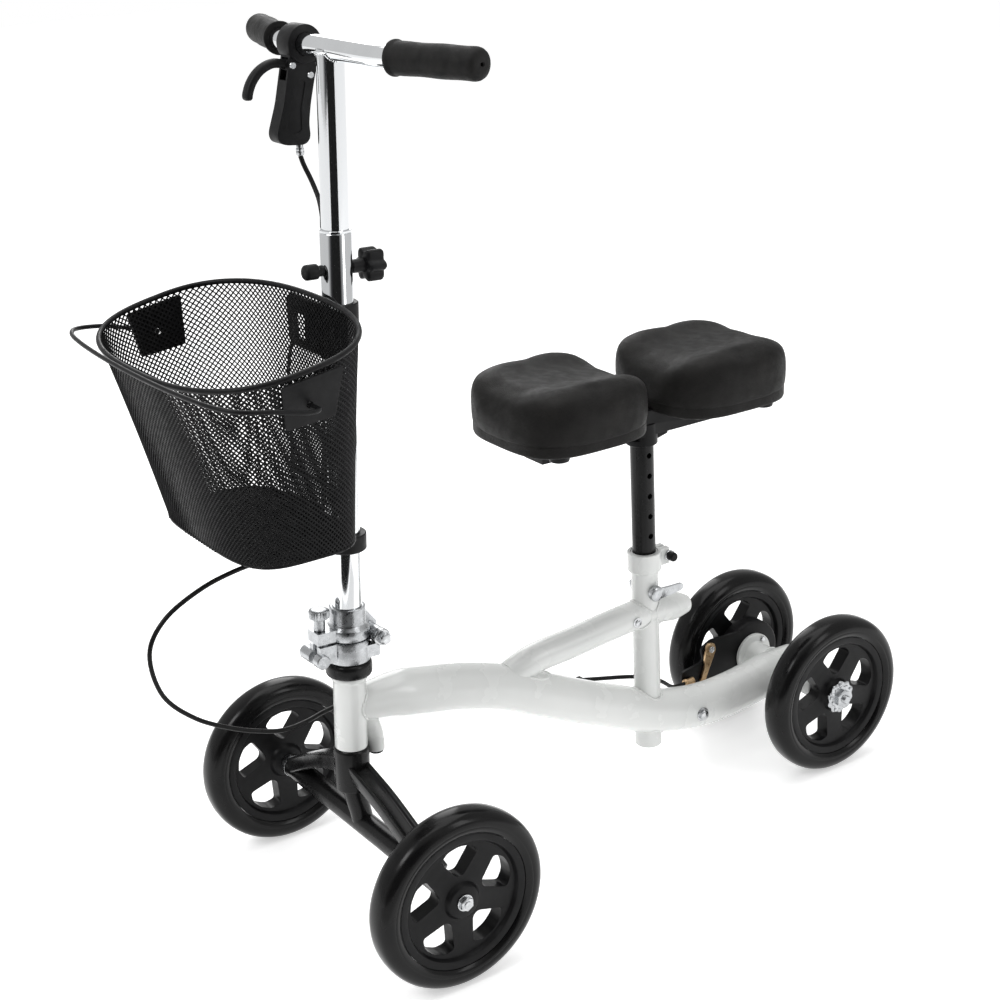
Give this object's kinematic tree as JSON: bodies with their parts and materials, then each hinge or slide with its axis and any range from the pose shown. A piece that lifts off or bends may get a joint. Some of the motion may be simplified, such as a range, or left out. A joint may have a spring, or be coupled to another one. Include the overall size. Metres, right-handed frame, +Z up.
{
  "type": "knee scooter",
  "caption": "Steerable knee scooter with a folding adjustable stem, mesh front basket, hand brake, height-adjustable double knee pads and spoked wheels.",
  "frame": {"origin": "on the floor, under the middle of the bounding box", "axes": "+Z up, -Y the way the scooter rolls forward, +X the rider's left"},
  "size_m": [0.424, 0.9393, 0.952],
  "materials": {
    "white": "gloss",
    "black": "satin",
    "black_cast": "satin",
    "plastic": "matte",
    "rim": "satin",
    "rubber": "matte",
    "tyre": "gloss",
    "chrome": "polished",
    "steel": "satin",
    "brass": "satin",
    "leather": "satin"
  },
  "bodies": {
    "frame": {"head_tube": "white", "main_tube": "white", "upper_brace": "white", "seat_tube": "white", "seat_clamp": "white", "seat_clamp_bolt": "plastic", "rear_axle_sleeve": "white", "rear_axle": "steel", "main_tube_bolt": "steel", "headset_bearing": "plastic", "brake_cover": "black", "cable_anchor": "brass", "cable_frame": "rubber"},
    "steering": {"steerer": "steel", "fork_yoke": "black_cast", "fork_beam": "black", "fork_arm_left": "black_cast", "fork_arm_right": "black_cast", "front_axle_left": "steel", "front_axle_right": "steel", "hinge_lower": "steel", "hinge_pin": "steel", "cable_fork": "rubber"},
    "stem": {"hinge_upper": "steel", "stem_outer": "chrome", "height_bolt_cap": "plastic", "basket_bracket": "plastic", "basket_rest": "plastic", "basket": "plastic", "basket_rim": "black", "bail_plate_left": "plastic", "bail_plate_right": "plastic", "cable_stem": "rubber", "cable_slack": "rubber"},
    "fold_knob": {"fold_knob": "steel"},
    "height_knob": {"height_knob": "plastic"},
    "basket_bail": {"basket_bail": "black"},
    "handlebar": {"stem_inner": "chrome", "handlebar": "chrome", "grip_left": "rubber", "grip_right": "rubber", "brake_housing": "plastic", "cable_ferrule": "steel", "cable_bar": "rubber"},
    "brake_lever": {"brake_lever": "plastic"},
    "brake_arm": {"brake_arm": "brass"},
    "seat": {"seat_post": "black", "seat_carrier": "black_cast", "pad_front": "leather", "pad_rear": "leather"},
    "seat_lever": {"seat_lever": "steel"},
    "wheel_front_left": {"tyre_front_left": "tyre", "rim_front_left": "rim"},
    "wheel_front_right": {"tyre_front_right": "tyre", "rim_front_right": "rim"},
    "wheel_rear_left": {"tyre_rear_left": "tyre", "rim_rear_left": "rim"},
    "wheel_rear_right": {"tyre_rear_right": "tyre", "rim_rear_right": "rim", "brake_drum": "steel"}
  },
  "joints": [
    {"name": "steering_turn", "type": "hinge", "parent": "frame", "child": "steering", "pos_m": [0, -0.26485, 0], "axis": [0, 0.0432, 0.9991], "range_deg": [-35, 35]},
    {"name": "stem_fold", "type": "hinge", "parent": "steering", "child": "stem", "pos_m": [0, -0.22467, 0.32757], "axis": [-1, 0, 0], "range_deg": [0, 28]},
    {"name": "handlebar_height", "type": "slide", "parent": "stem", "child": "handlebar", "axis": [0, 0.0432, 0.9991], "range_m": [-0.08, 0.06], "deforming": ["cable_slack"]},
    {"name": "height_knob_turn", "type": "hinge", "parent": "stem", "child": "height_knob", "pos_m": [0, -0.23365, 0.7223], "axis": [0, 0.9991, -0.0432], "range_deg": [-180, 180]},
    {"name": "fold_knob_turn", "type": "hinge", "parent": "stem", "child": "fold_knob", "pos_m": [0, -0.29882, 0.00147], "axis": [0, 0.0432, 0.9991], "range_deg": [-180, 180]},
    {"name": "basket_bail_swing", "type": "hinge", "parent": "stem", "child": "basket_bail", "pos_m": [0, -0.36035, 0.648], "axis": [-1, 0, 0], "range_deg": [0, 110]},
    {"name": "brake_lever_pull", "type": "hinge", "parent": "handlebar", "child": "brake_lever", "pos_m": [-0.06, -0.23835, 0.916], "axis": [1, 0, 0], "range_deg": [0, 22], "stiffness_Nm_per_rad": 1.2, "springref_deg": -5.73},
    {"name": "brake_arm_swing", "type": "hinge", "parent": "frame", "child": "brake_arm", "pos_m": [0, 0.29665, 0.128], "axis": [1, 0, 0], "range_deg": [-18, 0]},
    {"name": "seat_height", "type": "slide", "parent": "frame", "child": "seat", "axis": [0, -0.0149, 0.9999], "range_m": [-0.06, 0.04]},
    {"name": "seat_lever_swing", "type": "hinge", "parent": "frame", "child": "seat_lever", "pos_m": [0, 0.15143, 0.26997], "axis": [1, 0, 0], "range_deg": [0, 100]},
    {"name": "wheel_front_left_spin", "type": "hinge", "parent": "steering", "child": "wheel_front_left", "pos_m": [0.188, -0.24835, 0.1], "axis": [1, 0, 0], "continuous": true},
    {"name": "wheel_front_right_spin", "type": "hinge", "parent": "steering", "child": "wheel_front_right", "pos_m": [-0.188, -0.24835, 0.1], "axis": [1, 0, 0], "continuous": true},
    {"name": "wheel_rear_left_spin", "type": "hinge", "parent": "frame", "child": "wheel_rear_left", "pos_m": [0.0914, 0.36965, 0.1], "axis": [1, 0, 0], "continuous": true},
    {"name": "wheel_rear_right_spin", "type": "hinge", "parent": "frame", "child": "wheel_rear_right", "pos_m": [-0.0914, 0.36965, 0.1], "axis": [1, 0, 0], "continuous": true}
  ],
  "couplings": [
    {"joint": "brake_arm_swing", "follows": "brake_lever_pull", "ratio": -0.7}
  ]
}
